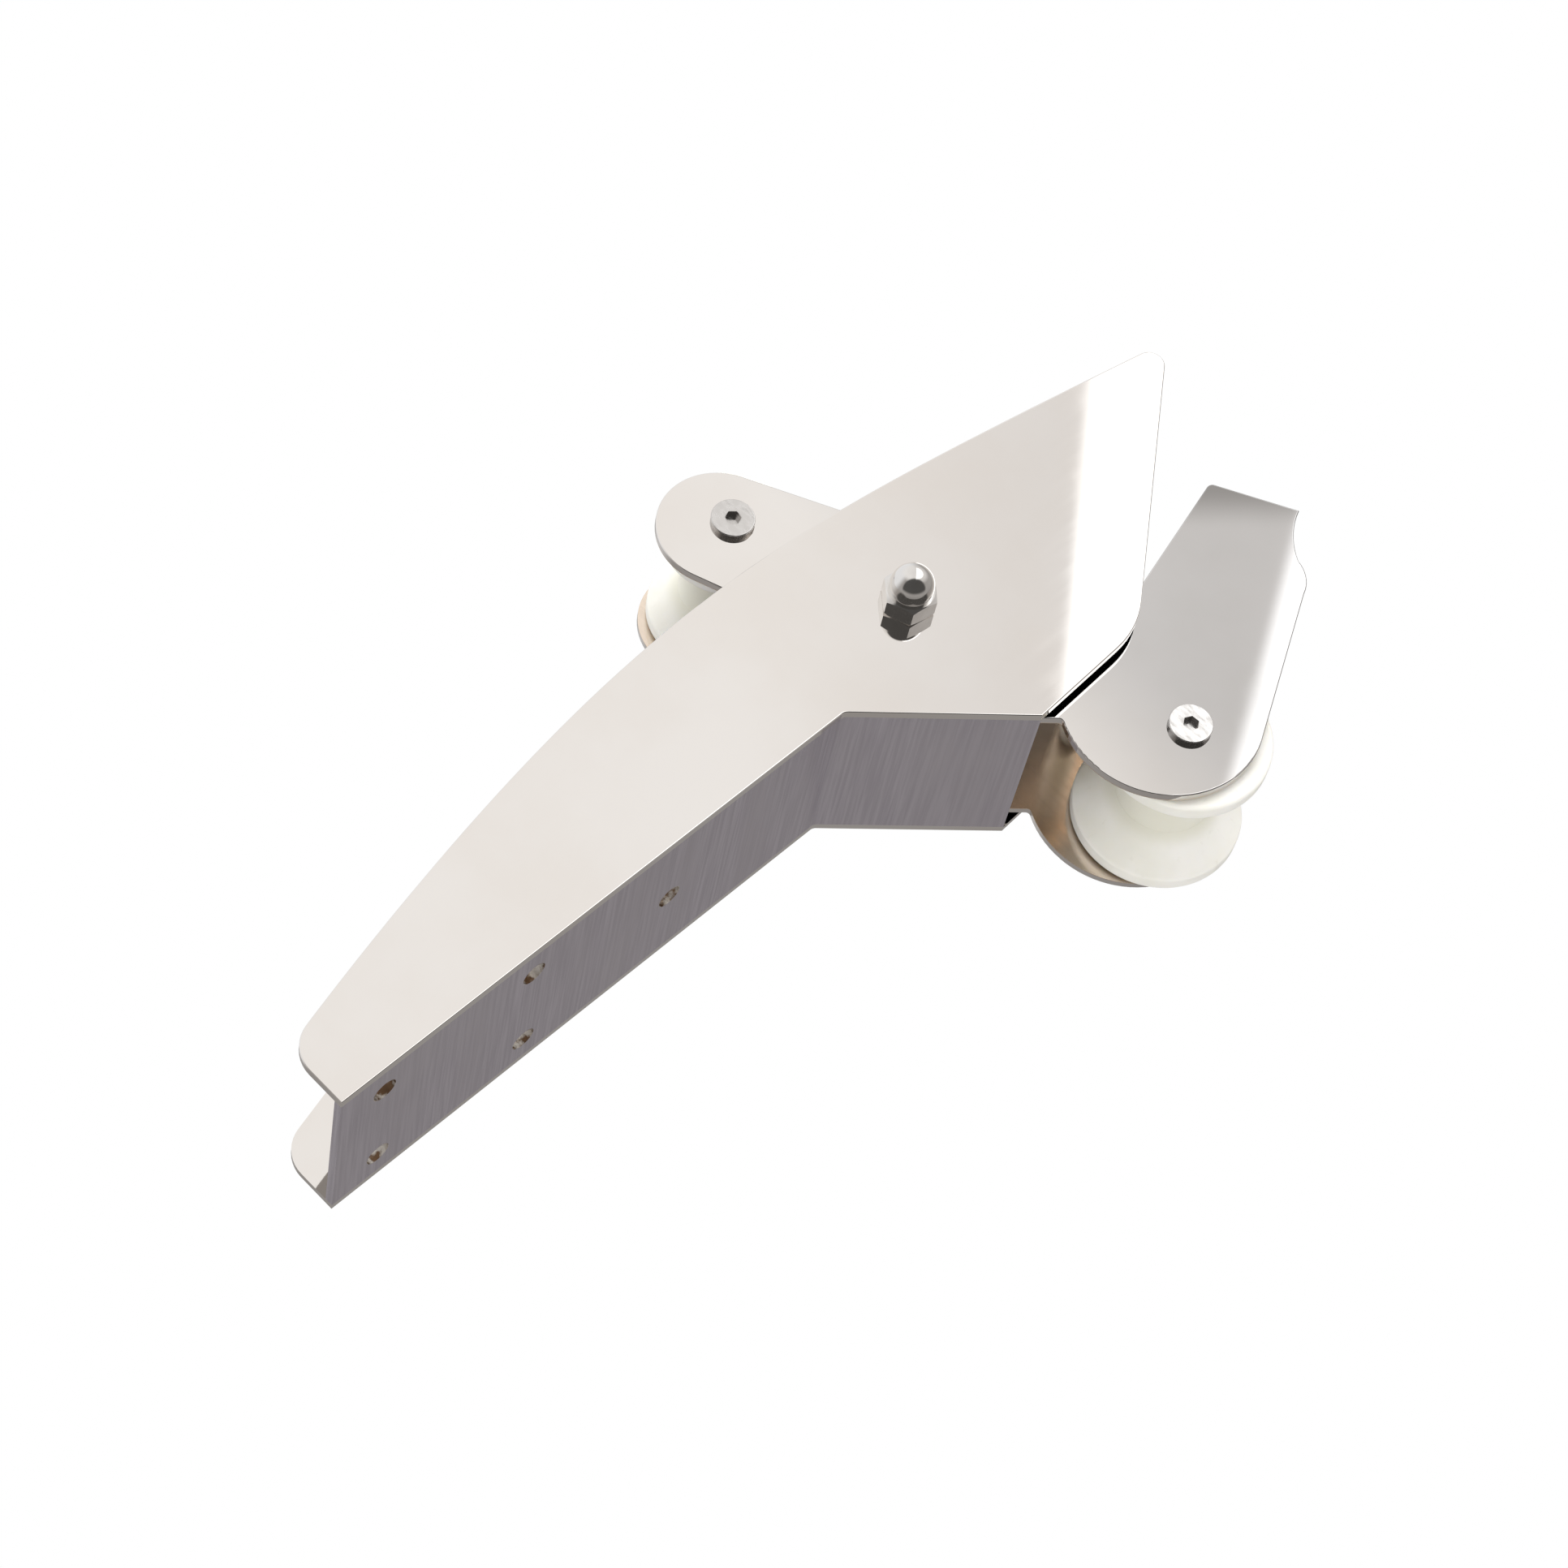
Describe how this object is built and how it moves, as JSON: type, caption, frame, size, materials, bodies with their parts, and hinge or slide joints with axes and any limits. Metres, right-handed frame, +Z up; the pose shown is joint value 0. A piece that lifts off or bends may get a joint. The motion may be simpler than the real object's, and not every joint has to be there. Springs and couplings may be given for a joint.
{
  "type": "anchor bow roller",
  "caption": "Hinged self-launching bow roller: a deck channel with a swinging rocker that carries a white roller at each end.",
  "frame": {"origin": "centre of the four deck bolt holes, on the underside of the deck web", "axes": "+X forward to the bow, +Y to port, +Z up off the deck"},
  "size_m": [0.4076, 0.112, 0.2099],
  "materials": {
    "cheek_steel": "mirror-polished stainless sheet",
    "deck_web_steel": "fine brushed stainless sheet",
    "weld_steel": "cleaned weld bead",
    "pivot_hardware": "bright stainless",
    "washer_plastic": "matte nylon",
    "rocker_plate_steel": "polished stainless sheet",
    "rocker_web_steel": "polished stainless sheet",
    "turned_steel": "turned stainless bar",
    "screw_steel": "bright stainless",
    "roller_plastic": "satin white nylon, turned"
  },
  "bodies": {
    "channel": {"starboard_cheek": "cheek_steel", "port_cheek": "cheek_steel", "deck_web": "deck_web_steel", "starboard_seam_weld": "weld_steel", "port_seam_weld": "weld_steel", "pivot_rod": "pivot_hardware", "starboard_dome_nut": "pivot_hardware", "port_dome_nut": "pivot_hardware", "starboard_pivot_washer": "washer_plastic", "port_pivot_washer": "washer_plastic"},
    "rocker": {"starboard_rocker_plate": "rocker_plate_steel", "port_rocker_plate": "rocker_plate_steel", "rocker_web": "rocker_web_steel", "pivot_tube": "turned_steel", "rear_axle_sleeve": "turned_steel", "front_axle_sleeve": "turned_steel", "rear_starboard_screw": "screw_steel", "rear_port_screw": "screw_steel", "front_starboard_screw": "screw_steel", "front_port_screw": "screw_steel"},
    "rear_roller": {"rear_roller": "roller_plastic"},
    "front_roller": {"front_roller": "roller_plastic"}
  },
  "joints": [
    {"name": "rocker_pivot", "type": "hinge", "parent": "channel", "child": "rocker", "pos_m": [0.2149, 0, 0.017], "axis": [0, -1, 0], "range_deg": [0, 58]},
    {"name": "rear_roller_spin", "type": "hinge", "parent": "rocker", "child": "rear_roller", "pos_m": [0.19609, 0, 0.08062], "axis": [0, 1, 0], "continuous": true},
    {"name": "front_roller_spin", "type": "hinge", "parent": "rocker", "child": "front_roller", "pos_m": [0.2575, 0, -0.07607], "axis": [0, 1, 0], "continuous": true}
  ]
}
